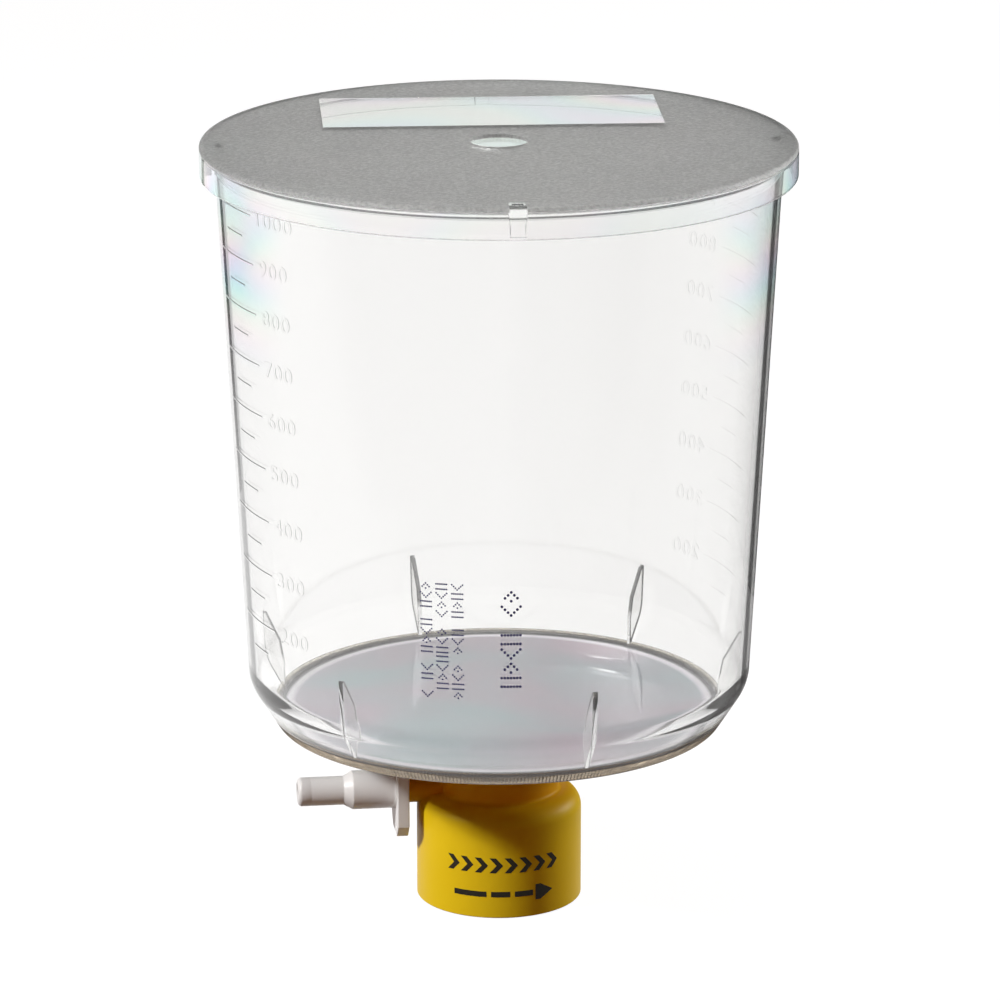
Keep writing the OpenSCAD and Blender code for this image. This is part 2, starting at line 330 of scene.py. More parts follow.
def cleaned(mesh, gap):
    """Mesh with its doubled points joined and every face turned outwards."""
    form = bmesh.new()
    form.from_mesh(mesh)
    bmesh.ops.remove_doubles(form, verts=form.verts, dist=gap)
    bmesh.ops.recalc_face_normals(form, faces=form.faces)
    form.to_mesh(mesh)
    form.free()
    return mesh


def mesh_from(name, points, faces):
    """Mesh from points in millimetres."""
    mesh = bpy.data.meshes.new(name)
    mesh.from_pydata([tuple(MM * c for c in p) for p in points], [], faces)
    return cleaned(mesh, 1e-8)


def side_faces(n, steps):
    """Faces of a tube that joins each ring of n points to the next."""
    return [(i * n + j, i * n + (j + 1) % n, (i + 1) * n + (j + 1) % n, (i + 1) * n + j)
            for i in range(steps) for j in range(n)]


def upright_place(r, a, z):
    """Place of a point turned about the upright axis."""
    return r * cos(a), r * sin(a), z


def turned(name, profile, steps, place=upright_place):
    """Solid turned from a closed profile of (radius, height) points in millimetres."""
    points, faces, rings = [], [], []
    for r, z in profile:
        if r < 1e-6:
            rings.append([len(points)] * steps)
            points.append(place(0, 0, z))
        else:
            rings.append(list(range(len(points), len(points) + steps)))
            points += [place(r, 2 * pi * i / steps, z) for i in range(steps)]
    for low, high in zip(rings, rings[1:] + rings[:1]):
        for i in range(steps):
            j = (i + 1) % steps
            corners = list(dict.fromkeys((low[i], low[j], high[j], high[i])))
            if len(corners) > 2:
                faces.append(corners)
    return mesh_from(name, points, faces)


def inset(outline, depth):
    """Outline drawn in by a distance all round; its points run anticlockwise."""
    n, points = len(outline), []
    for i in range(n):
        p, q, r = (Vector(outline[(i + k) % n]) for k in (-1, 0, 1))
        a, b = (q - p).normalized(), (r - q).normalized()
        both = Vector((-a.y - b.y, a.x + b.x))
        points.append(q + both * (depth / max(0.3, 1 + a.dot(b))))
    return points


def prism(name, outline, height, place, ease=0.0):
    """Solid from an outline and a height, each mapped to its place, with eased edges."""
    n, layers = len(outline), [(0, 0), (height, 0)]
    if ease:
        layers = [(ease - ease * cos(t), ease - ease * sin(t))
                  for t in np.radians((0, 22.5, 45, 67.5, 90))]
        layers += [(height - w, inward) for w, inward in layers[::-1]]
    points = [place(u, v, w) for w, inward in layers for u, v in inset(outline, inward)]
    last = n * (len(layers) - 1)
    faces = [tuple(range(n)), tuple(range(last, last + n))]
    return mesh_from(name, points, faces + side_faces(n, len(layers) - 1))


def gathered(name, meshes):
    """One mesh that holds several, which must not meet each other."""
    form = bmesh.new()
    for mesh in meshes:
        form.from_mesh(mesh)
        bpy.data.meshes.remove(mesh)
    whole = bpy.data.meshes.new(name)
    form.to_mesh(whole)
    form.free()
    return whole


def reworked(mesh, kind, **settings):
    """Mesh changed by a modifier of a kind."""
    name, body = mesh.name, placed("body", mesh)
    step = body.modifiers.new("step", kind)
    for key, value in settings.items():
        setattr(step, key, value)
    graph = bpy.context.evaluated_depsgraph_get()
    made = bpy.data.meshes.new_from_object(body.evaluated_get(graph))
    bpy.data.objects.remove(body)
    bpy.data.meshes.remove(mesh)
    made.name = name
    return made


def merged(mesh, other, operation="UNION"):
    """Mesh joined with another into one skin, or cut by it."""
    tool = placed("tool", other)
    made = reworked(mesh, "BOOLEAN", operation=operation, object=tool, solver="MANIFOLD")
    bpy.data.objects.remove(tool)
    bpy.data.meshes.remove(other)
    return made


def smoothed(mesh, angle=28):
    """Mesh shaded smooth: creases where it turns by more than an angle, large faces flat."""
    mesh.shade_smooth()
    mesh.set_sharp_from_angle(angle=radians(angle))
    return reworked(mesh, "WEIGHTED_NORMAL", keep_sharp=True, mode="FACE_AREA", weight=80)


def gusset_rib(turn):
    """Thin rib with rounded edges, from the funnel's foot up the inside of its wall."""
    top_z, thick, ease = SEAT_Z + 17, 1.0, 0.42
    top_r = outer_r(top_z) - WALL
    knee = (SEAT_R + (top_r - SEAT_R) * 0.18, SEAT_Z + 6 + 11 * 0.45)
    outline = [(47.6, SEAT_Z - 0.02), (51.6, 50.3), (top_r + 0.9, top_z), (top_r - 0.75, top_z),
               (top_r - 1, top_z - 0.25), knee, (SEAT_R, SEAT_Z + 6), (SEAT_R, SEAT_Z - 0.02)]

    def place(r, z, w):
        return (*swing(r, w - thick / 2, turn), max(z, SEAT_Z))
    return prism("rib", outline, thick, place, ease)


def scale_height(volume):
    """Height at which the funnel holds a volume in millilitres, in millimetres."""
    step, flare, allowance = 0.02, 0.625, 2.2
    z, held = SEAT_Z, allowance * pi * SEAT_R ** 2 / 1000
    while held < volume:
        z += step
        r = min(SEAT_R + flare * (z - SEAT_Z), outer_r(z) - WALL)
        held += pi * r * r * step / 1000
    return z


def scale_mark(z, start, end, proud):
    """Raised line of the scale, round the wall from one angle in degrees to another."""
    width, sunk, steps = 0.62, 0.25, 14
    section = [(-sunk, -width / 2), *((proud * sin(pi * t) ** 2, width * (t - 0.5))
               for t in np.linspace(0, 1, 9)), (-sunk, width / 2)]
    n, points = len(section), []
    for i in range(steps + 1):
        a = radians(start + (end - start) * i / steps)
        points += [upright_place(outer_r(z + up) + out, a, z + up) for out, up in section]
    ends = [tuple(range(n)), tuple(range(steps * n, steps * n + n))]
    return mesh_from("mark", points, side_faces(n, steps) + ends)


def scale_number(text, z, start):
    """Raised number of the scale, centred on a height, from an angle in degrees."""
    tall, wide, proud, sunk = 3.3, 1.25, 0.08, 0.25
    data = bpy.data.curves.new("number", "FONT")
    data.body, data.extrude, data.resolution_u = text, 0.5, 3
    data.offset, data.space_character = 0.0, 1.12
    thing = placed("number", data)
    graph = bpy.context.evaluated_depsgraph_get()
    mesh = bpy.data.meshes.new_from_object(thing.evaluated_get(graph))
    bpy.data.objects.remove(thing)
    bpy.data.curves.remove(data)
    corners = np.array([v.co for v in mesh.vertices])
    low, high = corners[:, 1].min(), corners[:, 1].max()
    size = tall / (high - low)
    for v in mesh.vertices:
        x, y, out = v.co
        up = (y - (low + high) / 2) * size
        r = outer_r(z + up) + (proud if out > 0 else -sunk)
        a = radians(start) + (x - corners[:, 0].min()) * size * wide / outer_r(z)
        v.co = (MM * r * cos(a), MM * r * sin(a), MM * (z + up))
    return cleaned(mesh, 1e-6)


def wall_normals(mesh):
    """Sets the true normals of the drafted walls, so that fused marks leave them clean."""
    normals = [n.vector.copy() for n in mesh.corner_normals]
    tilt = Vector((cos(DRAFT), -sin(DRAFT)))
    for face in mesh.polygons:
        c, n = face.center, face.normal
        r = hypot(c.x, c.y)
        outward = (n.x * c.x + n.y * c.y) / r
        off = abs(r / MM - outer_r(c.z / MM) + (0 if outward > 0 else WALL))
        if abs(abs(outward) - cos(DRAFT)) < 0.004 and off < 0.03 and c.z / MM > 54:
            way = 1 if outward > 0 else -1
            for loop in face.loop_indices:
                v = mesh.vertices[mesh.loops[loop].vertex_index].co
                flat = hypot(v.x, v.y)
                normals[loop] = way * Vector((v.x / flat * tilt.x, v.y / flat * tilt.x, tilt.y))
    mesh.normals_split_custom_set(normals)


lip = 0.3
outline = ([(SEAT_R, SEAT_Z), (FOOT_R, SEAT_Z)] + shoulder(FOOT_R, 0, 8)
           + [(outer_r(z), z) for z in np.linspace(62, RIM_Z - 2, 12)]
           + bend((RIM_R - lip, RIM_Z - lip), lip, 0, 90, 4)
           + bend((RIM_R - WALL + lip, RIM_Z - lip), lip, 90, 180, 4)
           + [(outer_r(z) - WALL, z) for z in np.linspace(RIM_Z - 2, 62, 12)]
           + shoulder(SEAT_R, WALL, 9)[::-1])
raised = [gusset_rib(45 + 60 * k) for k in range(6)]
short_from, short_to, long_from, long_to, number_from = 191.5, 199.6, 185.5, 204.0, 206.6
for half in (0, 180):
    proud = 0.08 - half * 2e-4
    for volume in range(150, 1001, 50):
        height = scale_height(volume)
        if volume % 100:
            raised.append(scale_mark(height, half + short_from, half + short_to, proud))
        else:
            raised.append(scale_mark(height, half + long_from, half + long_to, proud))
            raised.append(scale_number(str(volume), height, half + number_from))
funnel_mesh = merged(turned("funnel_cup", outline, 288), gathered("raised", raised))
funnel_mesh = smoothed(funnel_mesh)
wall_normals(funnel_mesh)
funnel = placed("funnel_cup", funnel_mesh)


def group_tree(name, inputs, outputs):
    """Empty node group, with its input and output nodes, for an effect that materials share."""
    tree = bpy.data.node_groups.new(name, "ShaderNodeTree")
    for label, kind, value in inputs:
        socket = tree.interface.new_socket(label, in_out="INPUT", socket_type="NodeSocket" + kind)
        socket.default_value = value
    for label, kind in outputs:
        tree.interface.new_socket(label, in_out="OUTPUT", socket_type="NodeSocket" + kind)
    return tree, tree.nodes.new("NodeGroupInput").outputs, tree.nodes.new("NodeGroupOutput")


def use_group(tree, group, inputs=()):
    """A node group placed in a material, with its own values."""
    return add_node(tree, "Group", inputs, node_tree=group).outputs


def noise(tree, spot, scale, detail, distortion=0.0):
    """Cloudy pattern between 0 and 1."""
    return add_node(tree, "TexNoise", {"Vector": spot, "Scale": scale, "Detail": detail,
                                       "Distortion": distortion}).outputs[0]


def blended(tree, share, first, second, **settings):
    """Colour between two others, by a share or a mask."""
    return add_node(tree, "Mix", {0: share, 6: first, 7: second}, data_type="RGBA",
                    **settings).outputs[2]


def grey(tree, level, blue):
    """Grey of a level, with its blue at a part of that."""
    return add_node(tree, "CombineColor", {0: level, 1: level, 2: product(tree, level, blue)})


def rotated(tree, vector, angle):
    """A vector turned about the unit's axis."""
    return add_node(tree, "VectorRotate", {"Vector": vector, "Angle": angle},
                    rotation_type="Z_AXIS").outputs[0]


# Pale rainbow bands that moulded-in stress gives clear plastic. They lie one above
# another from a height downwards, fade below it, and wander by an amount of drift.
stress_bands, given, result = group_tree(
    "stress_bands",
    [("Tint", "Color", WHITE), ("Amount", "Float", 0.2), ("Top", "Float", 0.157),
     ("Reach", "Float", 0.036), ("Period", "Float", 0.0165), ("Drift", "Float", 0.3)],
    [("Color", "Color")])
tree = stress_bands
spot = here(tree)
down = arith(tree, "SUBTRACT", given["Top"], axes(tree, spot)[2])
cloud = arith(tree, "SUBTRACT", noise(tree, spot, 20.0, 1.0), 0.5)
phase = arith(tree, "ADD", arith(tree, "DIVIDE", down, given["Period"]),
              product(tree, cloud, given["Drift"]))
depth = arith(tree, "MINIMUM", arith(tree, "DIVIDE", down, given["Reach"]), 1.0)
rise = ramp(tree, depth, 0.0, 0.3, 0.3, 1.0)
fade = ramp(tree, arith(tree, "ABSOLUTE", depth), 0.55, 1.0, 1.0, 0.0)
fade = product(tree, fade, rise, given["Amount"])
channels = []
for shift, share in ((0.24, 1.0), (0.94, 0.55), (0.55, 0.38)):
    wave = arith(tree, "COSINE", product(tree, arith(tree, "SUBTRACT", phase, shift),
                                         2 * pi))
    dip = arith(tree, "MULTIPLY_ADD", wave, share / 2, share / 2)
    channels.append(inverse(tree, product(tree, dip, fade)))
hue = add_node(tree, "CombineColor", enumerate(channels))
tree.links.new(blended(tree, 1.0, given["Tint"], hue, blend_type="MULTIPLY"),
               result.inputs["Color"])


def clear_plastic(tree, inputs, clear=(0.93, 0.93, 0.93, 1)):
    """Ends a clear plastic: lamps shine through it as through a plain tinted sheet."""
    body = add_node(tree, "BsdfPrincipled", {"IOR": 1.59, **inputs})
    lamps = add_node(tree, "LightPath").outputs["Is Shadow Ray"]
    sheet = add_node(tree, "BsdfTransparent", {"Color": clear})
    both = add_node(tree, "MixShader", {0: lamps, 1: body, 2: sheet})
    add_node(tree, "OutputMaterial", {"Surface": both})


def painted(mesh, paint):
    """Gives a mesh its material."""
    mesh.materials.clear()
    mesh.materials.append(paint)


EDGE_SHADE_BLACK, RIB_SHADE_BLACK = (0.004, 0.004, 0.004, 1), (0.05, 0.05, 0.05, 1)
RIM_SHADE_GREY = (0.6, 0.6, 0.6, 1)
paint, tree = node_tree(None, "clear_styrene")
facing = add_node(tree, "LayerWeight", {"Blend": 0.5}).outputs["Facing"]
spot = add_node(tree, "NewGeometry").outputs
x, y, z = axes(tree, spot["Position"])
front_face = inverse(tree, spot["Backfacing"])
soft_step = {"interpolation_type": "SMOOTHSTEP"}
amount = product(tree, ramp(tree, facing, 0.36, 0.72, 0.0, 0.5, **soft_step),
                 ramp(tree, x, -0.03, 0.03, 1.3, 0.8))
# Painted shade: the top edge of the rim is tinted grey.
rim_shade = over(tree, z, MM * (RIM_Z - 0.4))
# The clear tint greys where the wall is seen at a slant: partly the longer path through the
# plastic, partly painted shade.
veil = ramp(tree, facing, 0.45, 0.8, 0.953, 0.88)
tint = blended(tree, rim_shade, grey(tree, veil, 0.994), RIM_SHADE_GREY)
tone = use_group(tree, stress_bands, {"Tint": tint, "Amount": amount})["Color"]
# Painted shade: the drafted wall is darkened in the band where its outer face is seen almost
# edge-on, a little more on one side.
side_on = product(tree, ramp(tree, facing, 0.755, 0.785, **soft_step),
                  ramp(tree, facing, 0.84, 0.875, 1.0, 0.0, **soft_step),
                  ramp(tree, x, -0.03, 0.03, 0.9, 0.97))
outwards = over(tree, dot(tree, flattened(tree, spot["Position"]), spot["Normal"]), 0.0)
slope = arith(tree, "ADD", axes(tree, spot["Normal"])[2], sin(DRAFT))
upright = ramp(tree, arith(tree, "ABSOLUTE", slope), 0.03, 0.12, 1.0, 0.0)
edge = product(tree, side_on, outwards, front_face, upright)
tone = blended(tree, edge, tone, EDGE_SHADE_BLACK)
# Painted shade: the rounded edges of the gusset ribs are darkened, less so near the foot and not
# where they are seen in gloss. Each point is turned back to the first rib's place, where x runs
# along the rib and y across it.
around = arith(tree, "MULTIPLY_ADD", arith(tree, "ARCTAN2", y, x), 3 / pi, -0.75)
back = arith(tree, "MULTIPLY_ADD", arith(tree, "ROUND", around), -pi / 3, -pi / 4)
along, across, up = axes(tree, rotated(tree, spot["Position"], back))
face = axes(tree, rotated(tree, spot["Normal"], back))[1]
reach = arith(tree, "MULTIPLY_ADD", up, 0.28, MM * (47.4 - 0.28 * SEAT_Z))
on_rib = product(tree, under(tree, along, reach), near(tree, across, 0.0, MM * 0.53),
                 under(tree, up, MM * (SEAT_Z + 17.2)))
mirrored = gloss_ray(tree)
turned_edge = ramp(tree, arith(tree, "ABSOLUTE", face), 0.93, 0.995, 1.0, 0.12)
higher = ramp(tree, up, MM * 49.2, MM * 51, 0.25, 1.0)
rib_shade = product(tree, on_rib, inverse(tree, mirrored), turned_edge, higher)
tone = blended(tree, rib_shade, tone, RIB_SHADE_BLACK)
# A faint glow stands for the light that the ribs lose where they are seen in gloss.
lit = product(tree, on_rib, mirrored, front_face, 0.6)
clear_plastic(tree, {"Base Color": tone, "Roughness": 0.012, "Transmission Weight": 0.986,
                     "Emission Color": WHITE, "Emission Strength": lit})
painted(funnel_mesh, paint)
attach(funnel, "filter_body")
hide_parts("funnel")


def inked(rows, wall, turn, middle, columns=3):
    """Thin patch of ink on a round wall, from rows of (height, left, right) in millimetres.

    wall gives the radius at a height, turn is the angle of the patch and middle its height.
    """
    n, points, faces = columns + 1, [], []
    foot, face = 0.003, 0.03
    for up, left, right in rows:
        for out in (foot, face):
            for i in range(n):
                r = wall(middle + up) + out
                a = radians(turn) + (left + (right - left) * i / columns) / r
                points.append(upright_place(r, a, middle + up))
    for k in range(len(rows) - 1):
        for i in range(columns):
            for low in (2 * k * n, 2 * k * n + n):
                faces.append((low + i, low + i + 1, low + i + 1 + 2 * n, low + i + 2 * n))
        for i in (2 * k * n, 2 * k * n + columns):
            faces.append((i, i + n, i + 3 * n, i + 2 * n))
    for k in (0, 2 * n * (len(rows) - 1)):
        faces += [(k + i, k + i + 1, k + i + 1 + n, k + i + n) for i in range(columns)]
    return mesh_from("ink", points, faces)


def disc_rows(x, z, radius, count=4):
    """Rows of a round dot."""
    return [(z - radius * cos(t), x - radius * max(sin(t), 0.15),
             x + radius * max(sin(t), 0.15)) for t in np.linspace(0, pi, count + 1)]


def opaque(tree, inputs):
    """Ends an opaque material with its shader."""
    body = add_node(tree, "BsdfPrincipled", inputs)
    add_node(tree, "OutputMaterial", {"Surface": body})


def ink_paint(name, scale, detail, dark, light, rough, gloss):
    """Material of a thin layer of ink, darker where it lies thicker."""
    paint, tree = node_tree(None, name)
    thin = noise(tree, here(tree), scale, detail)
    opaque(tree, {"Base Color": blended(tree, thin, dark, light), "Roughness": rough,
                  "Specular IOR Level": gloss})
    return paint


# Jetted ink on the front of the cup: upright lines of small dotted shapes, which are a
# diamond, a pair of bars and an arrowhead.
shapes = {"d": ("0001000", "0010100", "0100010", "0001000"),
          "b": ("1111111", "0000000", "0000000", "1111111"),
          "a": ("1000001", "0100010", "0010100", "0001000")}
dots = []
for turn, top, line, pitch, apart, dot_r in ((247.4, 84.4, "dab badb ab a", 0.36, 5.34, 0.52),
                                             (250.8, 84.4, "bada dabbadb ", 0.36, 5.34, 0.52),
                                             (254.2, 84.4, "abdb bad dabd", 0.36, 5.34, 0.52),
                                             (265.6, 83.0, "da badb", 0.62, 4.9, 0.48)):
    for place_no, shape in enumerate(line):
        middle = top - place_no * (pitch * apart)
        for j, bits in enumerate(shapes.get(shape, ())):
            for i, bit in enumerate(bits):
                if bit == "1":
                    rows = disc_rows((i - 3) * pitch, -j * pitch, dot_r * pitch)
                    dots.append(inked(rows, outer_r, turn, middle, columns=1))
ink_mesh = gathered("ink_dots", dots)
ink_dots = placed("ink_dots", ink_mesh)
painted(ink_mesh, ink_paint("jetted_ink", 900.0, 2.0, (0.02, 0.02, 0.08, 1),
                            (0.08, 0.08, 0.2, 1), 0.5, 0.2))
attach(ink_dots, "filter_body")


# ---- Lid ---------------------------------------------------------------------------
# A shallow clear polystyrene lid that drops over the funnel's rim. Its top is stippled
# but for a polished panel and dimple, and four ribs hold it off the rim to let air in.
UNDER_Z, TOP_Z, SKIRT_Z = 161.6, 163.0, 156.5
SKIRT_IN_R, LID_R, DIMPLE_R, EDGE_ROUND = 60.1, 61.33, 6.0, 0.95
LID_TURN, PANEL_TURN = -3.4, 86.6
RELIEF = 0.0002
panel_size, panel_out, panel_deep = (71.0, 28.5), 28.8, 0.12
outline = ([(0, UNDER_Z), (SKIRT_IN_R - 0.3, UNDER_Z)]
           + bend((SKIRT_IN_R - 0.3, UNDER_Z - 0.3), 0.3, 90, 0, 3)
           + [(SKIRT_IN_R, SKIRT_Z + 0.1), (SKIRT_IN_R + 0.1, SKIRT_Z)]
           + bend((LID_R - 0.2, SKIRT_Z + 0.2), 0.2, -90, 0, 3)
           + bend((LID_R - EDGE_ROUND, TOP_Z - EDGE_ROUND), EDGE_ROUND, 0, 90, 9)
           + [(DIMPLE_R + 0.15, TOP_Z)] + bend((DIMPLE_R + 0.15, TOP_Z - 0.15), 0.15, 90, 180, 3)
           + [(DIMPLE_R, TOP_Z - 0.8), (0, TOP_Z - 0.8)])


def spacer_rib(turn):
    """Key down the inside of the skirt with a pad that rests on the funnel's rim."""
    top, low, pad_low = UNDER_Z + 0.35, SKIRT_Z + 0.4, RIM_Z
    key_r, pad_r, back_r = 58.7, 55.45, 60.7
    section = ((1.35, low, key_r), (1.4, 159.0, key_r), (1.5, pad_low, key_r),
               (1.7, pad_low, pad_r), (1.85, top, pad_r), (1.9, top, back_r),
               (1.75, low, back_r))
    n = len(section)
    points = [(*swing(r, side_way, turn), z)
              for half, z, r in section for side_way in (-half, half)]
    faces = [tuple(range(0, 2 * n, 2)), tuple(range(1, 2 * n, 2))]
    faces += [(2 * i, 2 * ((i + 1) % n), 2 * ((i + 1) % n) + 1, 2 * i + 1) for i in range(n)]
    return mesh_from("spacer", points, faces)


def panel_cut():
    """Block that cuts the polished panel a little below the stippled face."""
    w, h = panel_size[0] / 2, panel_size[1] / 2
    spots = [swing(panel_out + v, u, PANEL_TURN) for u, v in ((-w, -h), (w, -h), (w, h), (-w, h))]
    return prism("panel", spots, 1.0, lambda x, y, w: (x, y, TOP_Z - panel_deep + w))


lid_mesh = merged(turned("lid_cover", outline, 288),
                  gathered("spacers", [spacer_rib(LID_TURN + 90 * k) for k in range(4)]))
lid_mesh = merged(lid_mesh, panel_cut(), "DIFFERENCE")
hollow_x, hollow_y = swing(58.2, 0, LID_TURN - 90)
hollow = turned("hollow", bend((0, 2.35), 2.65, -90, -42, 8) + [(0, 0.6)], 48,
                lambda r, t, z: (hollow_x + r * cos(t), hollow_y + r * sin(t), TOP_Z + z))
lid_mesh = merged(lid_mesh, hollow, "DIFFERENCE")
lid_mesh = smoothed(lid_mesh, 25)
lid = placed("lid_cover", lid_mesh)
paint, tree = node_tree(None, "stippled_styrene")
spot = here(tree)
x, y, z = axes(tree, spot)
radius = length(tree, flattened(tree, spot))
panel_x, panel_y, _ = axes(tree, rotated(tree, spot, radians(90 - PANEL_TURN)))
panel = product(tree, near(tree, panel_x, 0.0, MM * panel_size[0] / 2),
                near(tree, panel_y, MM * panel_out, MM * panel_size[1] / 2))
on_round = product(tree, over(tree, radius, MM * (LID_R - EDGE_ROUND)),
                   over(tree, z, MM * (TOP_Z - 0.85)))
dimple_wall = product(tree, under(tree, radius, MM * (DIMPLE_R + 0.3)),
                      over(tree, z, MM * (TOP_Z - 0.78)))
on_top = arith(tree, "MAXIMUM", over(tree, z, MM * (TOP_Z - 0.05)), on_round)
on_top = arith(tree, "MAXIMUM", on_top, dimple_wall)
key_x, key_y, _ = axes(tree, rotated(tree, spot, radians(-LID_TURN)))
on_key = product(tree, under(tree, key_y, MM * -56.4), near(tree, key_x, 0.0, MM * 1.75))
stippled = product(tree, on_top, over(tree, radius, MM * (DIMPLE_R - 0.05)),
                   inverse(tree, panel), inverse(tree, on_key))
grain = ramp(tree, noise(tree, spot, 1500.0, 3.0), 0.35, 0.65)
level = arith(tree, "MULTIPLY_ADD", grain, 0.24, 0.25)
level = arith(tree, "MULTIPLY_ADD", noise(tree, spot, 60.0, 2.0), 0.05, level)
# Painted light: the stipple is paler towards the edge on one side, and all round at the rounded
# corner.
border = ramp(tree, radius, MM * 55.5, MM * 58.8)
side_light = product(tree, border, arith(tree, "SUBTRACT", dot(tree, spot, (-2.0, -4.6, 0)), 0.13))
level = product(tree, level, arith(tree, "ADD", side_light, 1.0),
                ramp(tree, radius, MM * 60.2, MM * 60.8, 1.0, 1.2))
facing = add_node(tree, "LayerWeight", {"Blend": 0.5}).outputs["Facing"]
bands = use_group(tree, stress_bands, {
    "Tint": (0.98, 0.98, 0.975, 1), "Amount": ramp(tree, facing, 0.4, 0.75, 0.06, 0.6),
    "Top": 0.164, "Drift": 5.0})["Color"]
# The flanks of the spacer ribs are the faces that look sideways, and they are greyed with painted
# shade.
normal = axes(tree, add_node(tree, "NewGeometry").outputs["Normal"])
twist = arith(tree, "SUBTRACT", product(tree, x, normal[1]), product(tree, y, normal[0]))
flank = over(tree, arith(tree, "ABSOLUTE", twist), 0.04)
clear = blended(tree, flank, bands, (0.3, 0.3, 0.3, 1))
bump = add_node(tree, "Bump", {"Strength": 0.6, "Distance": RELIEF,
                               "Height": product(tree, grain, stippled)})
clear_plastic(tree, {
    "Base Color": blended(tree, stippled, clear, grey(tree, level, 0.97)),
    "Roughness": arith(tree, "MULTIPLY_ADD", stippled, 0.5, 0.012),
    "Transmission Weight": 1.0, "Normal": bump}, (0.85, 0.85, 0.85, 1))
painted(lid_mesh, paint)
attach(lid, "lid")
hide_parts("lid")


# ---- Membrane ----------------------------------------------------------------------
# A thin white filter sheet of cellulose acetate, glossy where it is wetted out, clamped
# round its edge between the funnel's foot and the support plate.
sheet_r, sheet_low, sheet_high = 46.7, 42.8, 43.0
# How far from the foot of the unit's axis the damp ring and the clamp begin, in metres.
damp_from, damp_to, clamp_from, clamp_to = 0.0606, 0.0614, 0.0619, 0.0624
rng = np.random.default_rng(7)
waves = [(rng.uniform(2, 5), rng.uniform(0, 2 * pi), rng.uniform(0, 2 * pi)) for _ in range(6)]


def sag(r, a, z):
    """Place on the sheet, which is wavy by a few hundredths of a millimetre."""
    x, y = r * cos(a), r * sin(a)
    lift = sum(sin((x * cos(t) + y * sin(t)) * f / 46 + p) for f, t, p in waves)
    fade = max(0.0, 1 - (r / 44) ** 4)
    return x, y, z - (0.012 * (lift + 6) / 2 * fade if z > 42.9 else 0)


rings = [(r, sheet_high) for r in np.linspace(sheet_r - 0.1, 0, 60)]
outline = [(0, sheet_low), (sheet_r, sheet_low), (sheet_r, sheet_high - 0.05)] + rings
membrane_mesh = smoothed(turned("filter_membrane", outline, 180, sag), 35)
membrane = placed("filter_membrane", membrane_mesh)
paint, tree = node_tree(None, "wetted_membrane")
spot = here(tree)
shaded_top = add_node(tree, "ValToRGB", {0: noise(tree, spot, 26.0, 2.0, 0.6)})
for stop, place, colour in ((0, 0.3, (0.14, 0.18, 0.19, 1)), (1, 0.7, (0.2, 0.15, 0.18, 1))):
    shaded_top.color_ramp.elements[stop].position = place
    shaded_top.color_ramp.elements[stop].color = colour
# From the middle out: a wetted top in dark grey, which is painted shade, a paler damp ring, and a
# near-black line where the clamp begins. The underside is dry, and the sheet is paler where it is
# seen again in gloss, which is painted light.
out = length(tree, spot)
lying = axes(tree, add_node(tree, "NewGeometry").outputs["Normal"])[2]
again = add_node(tree, "LightPath").outputs["Glossy Depth"]
tone = shaded_top
for mask, colour in ((ramp(tree, out, damp_from, damp_to), (0.36, 0.35, 0.37, 1)),
                     (ramp(tree, out, clamp_from, clamp_to), (0.02, 0.02, 0.024, 1)),
                     (under(tree, lying, -0.5), (0.62, 0.62, 0.6, 1)),
                     (over(tree, again, 0.5), (0.42, 0.42, 0.43, 1))):
    tone = blended(tree, mask, tone, colour)
pores = noise(tree, spot, 3200.0, 2.0)
opaque(tree, {"Base Color": tone, "IOR": 1.5,
              "Roughness": arith(tree, "MULTIPLY_ADD", pores, 0.012, 0.006)})
painted(membrane_mesh, paint)
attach(membrane, "filter_body")
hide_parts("membrane")


# ---- Support plate -----------------------------------------------------------------
# A clear polystyrene plate under the membrane, with drain channels in its top, a finely
# serrated rim to grip, a socket ring for the adapter's neck and a drain spout.
TEETH, TOOTH_DEEP = 400, 0.32
DISC_Z, PLATE_Z, EDGE_R = 40.6, 39.9, 44.0
spout_r, groove_z, groove_wide = 4, 42.0, 1.2
grooves = []
for k in range(5, 0, -1):
    start = spout_r + (EDGE_R - spout_r) * k / 6
    grooves += [(start + groove_wide, sheet_low), (start + groove_wide, groove_z),
                (start, groove_z), (start, sheet_low)]
outline = ([(spout_r, 19.5), (4.9, 19.5), (5.1, 19.7), (5.8, DISC_Z), (12.65, DISC_Z),
            (12.65, 34.6), (14.25, 34.6), (14.25, DISC_Z), (EDGE_R, DISC_Z), (EDGE_R, PLATE_Z),
            (46.7, PLATE_Z), (46.93, 40.1), (47.4, 40.83), (48.0, 41.76), (48.13, 41.96),
            (48.35, 42.3), (48.72, 42.88), (48.7, SEAT_Z), (46.75, SEAT_Z), (46.75, sheet_low)]
           + grooves + [(spout_r, sheet_low)])


def serrated(r, a, z):
    """Place on the plate, with the teeth of its rim cut in."""
    if r > 46.72 and 40.0 < z < 41.97:
        r -= TOOTH_DEEP * (0.5 - 0.5 * cos(TEETH * a))
    return r * cos(a), r * sin(a), z


spokes, spoke_in, spoke_half = [], 3.0, 0.6
for k in range(12):
    spots = [swing(u, v, 30 * k) for u, v in ((spoke_in, -spoke_half), (EDGE_R, -spoke_half),
                                              (EDGE_R, spoke_half), (spoke_in, spoke_half))]
    spokes.append(prism("spoke", spots, 1.8, lambda x, y, w: (x, y, groove_z + w)))
plate_mesh = merged(turned("support_plate", outline, 4 * TEETH, serrated),
                    gathered("spokes", spokes), "DIFFERENCE")
plate_mesh = smoothed(plate_mesh, 35)
plate = placed("drain_plate", plate_mesh)
paint, tree = node_tree(None, "plate_styrene")
spot = here(tree)
lying = axes(tree, add_node(tree, "NewGeometry").outputs["Normal"])[2]
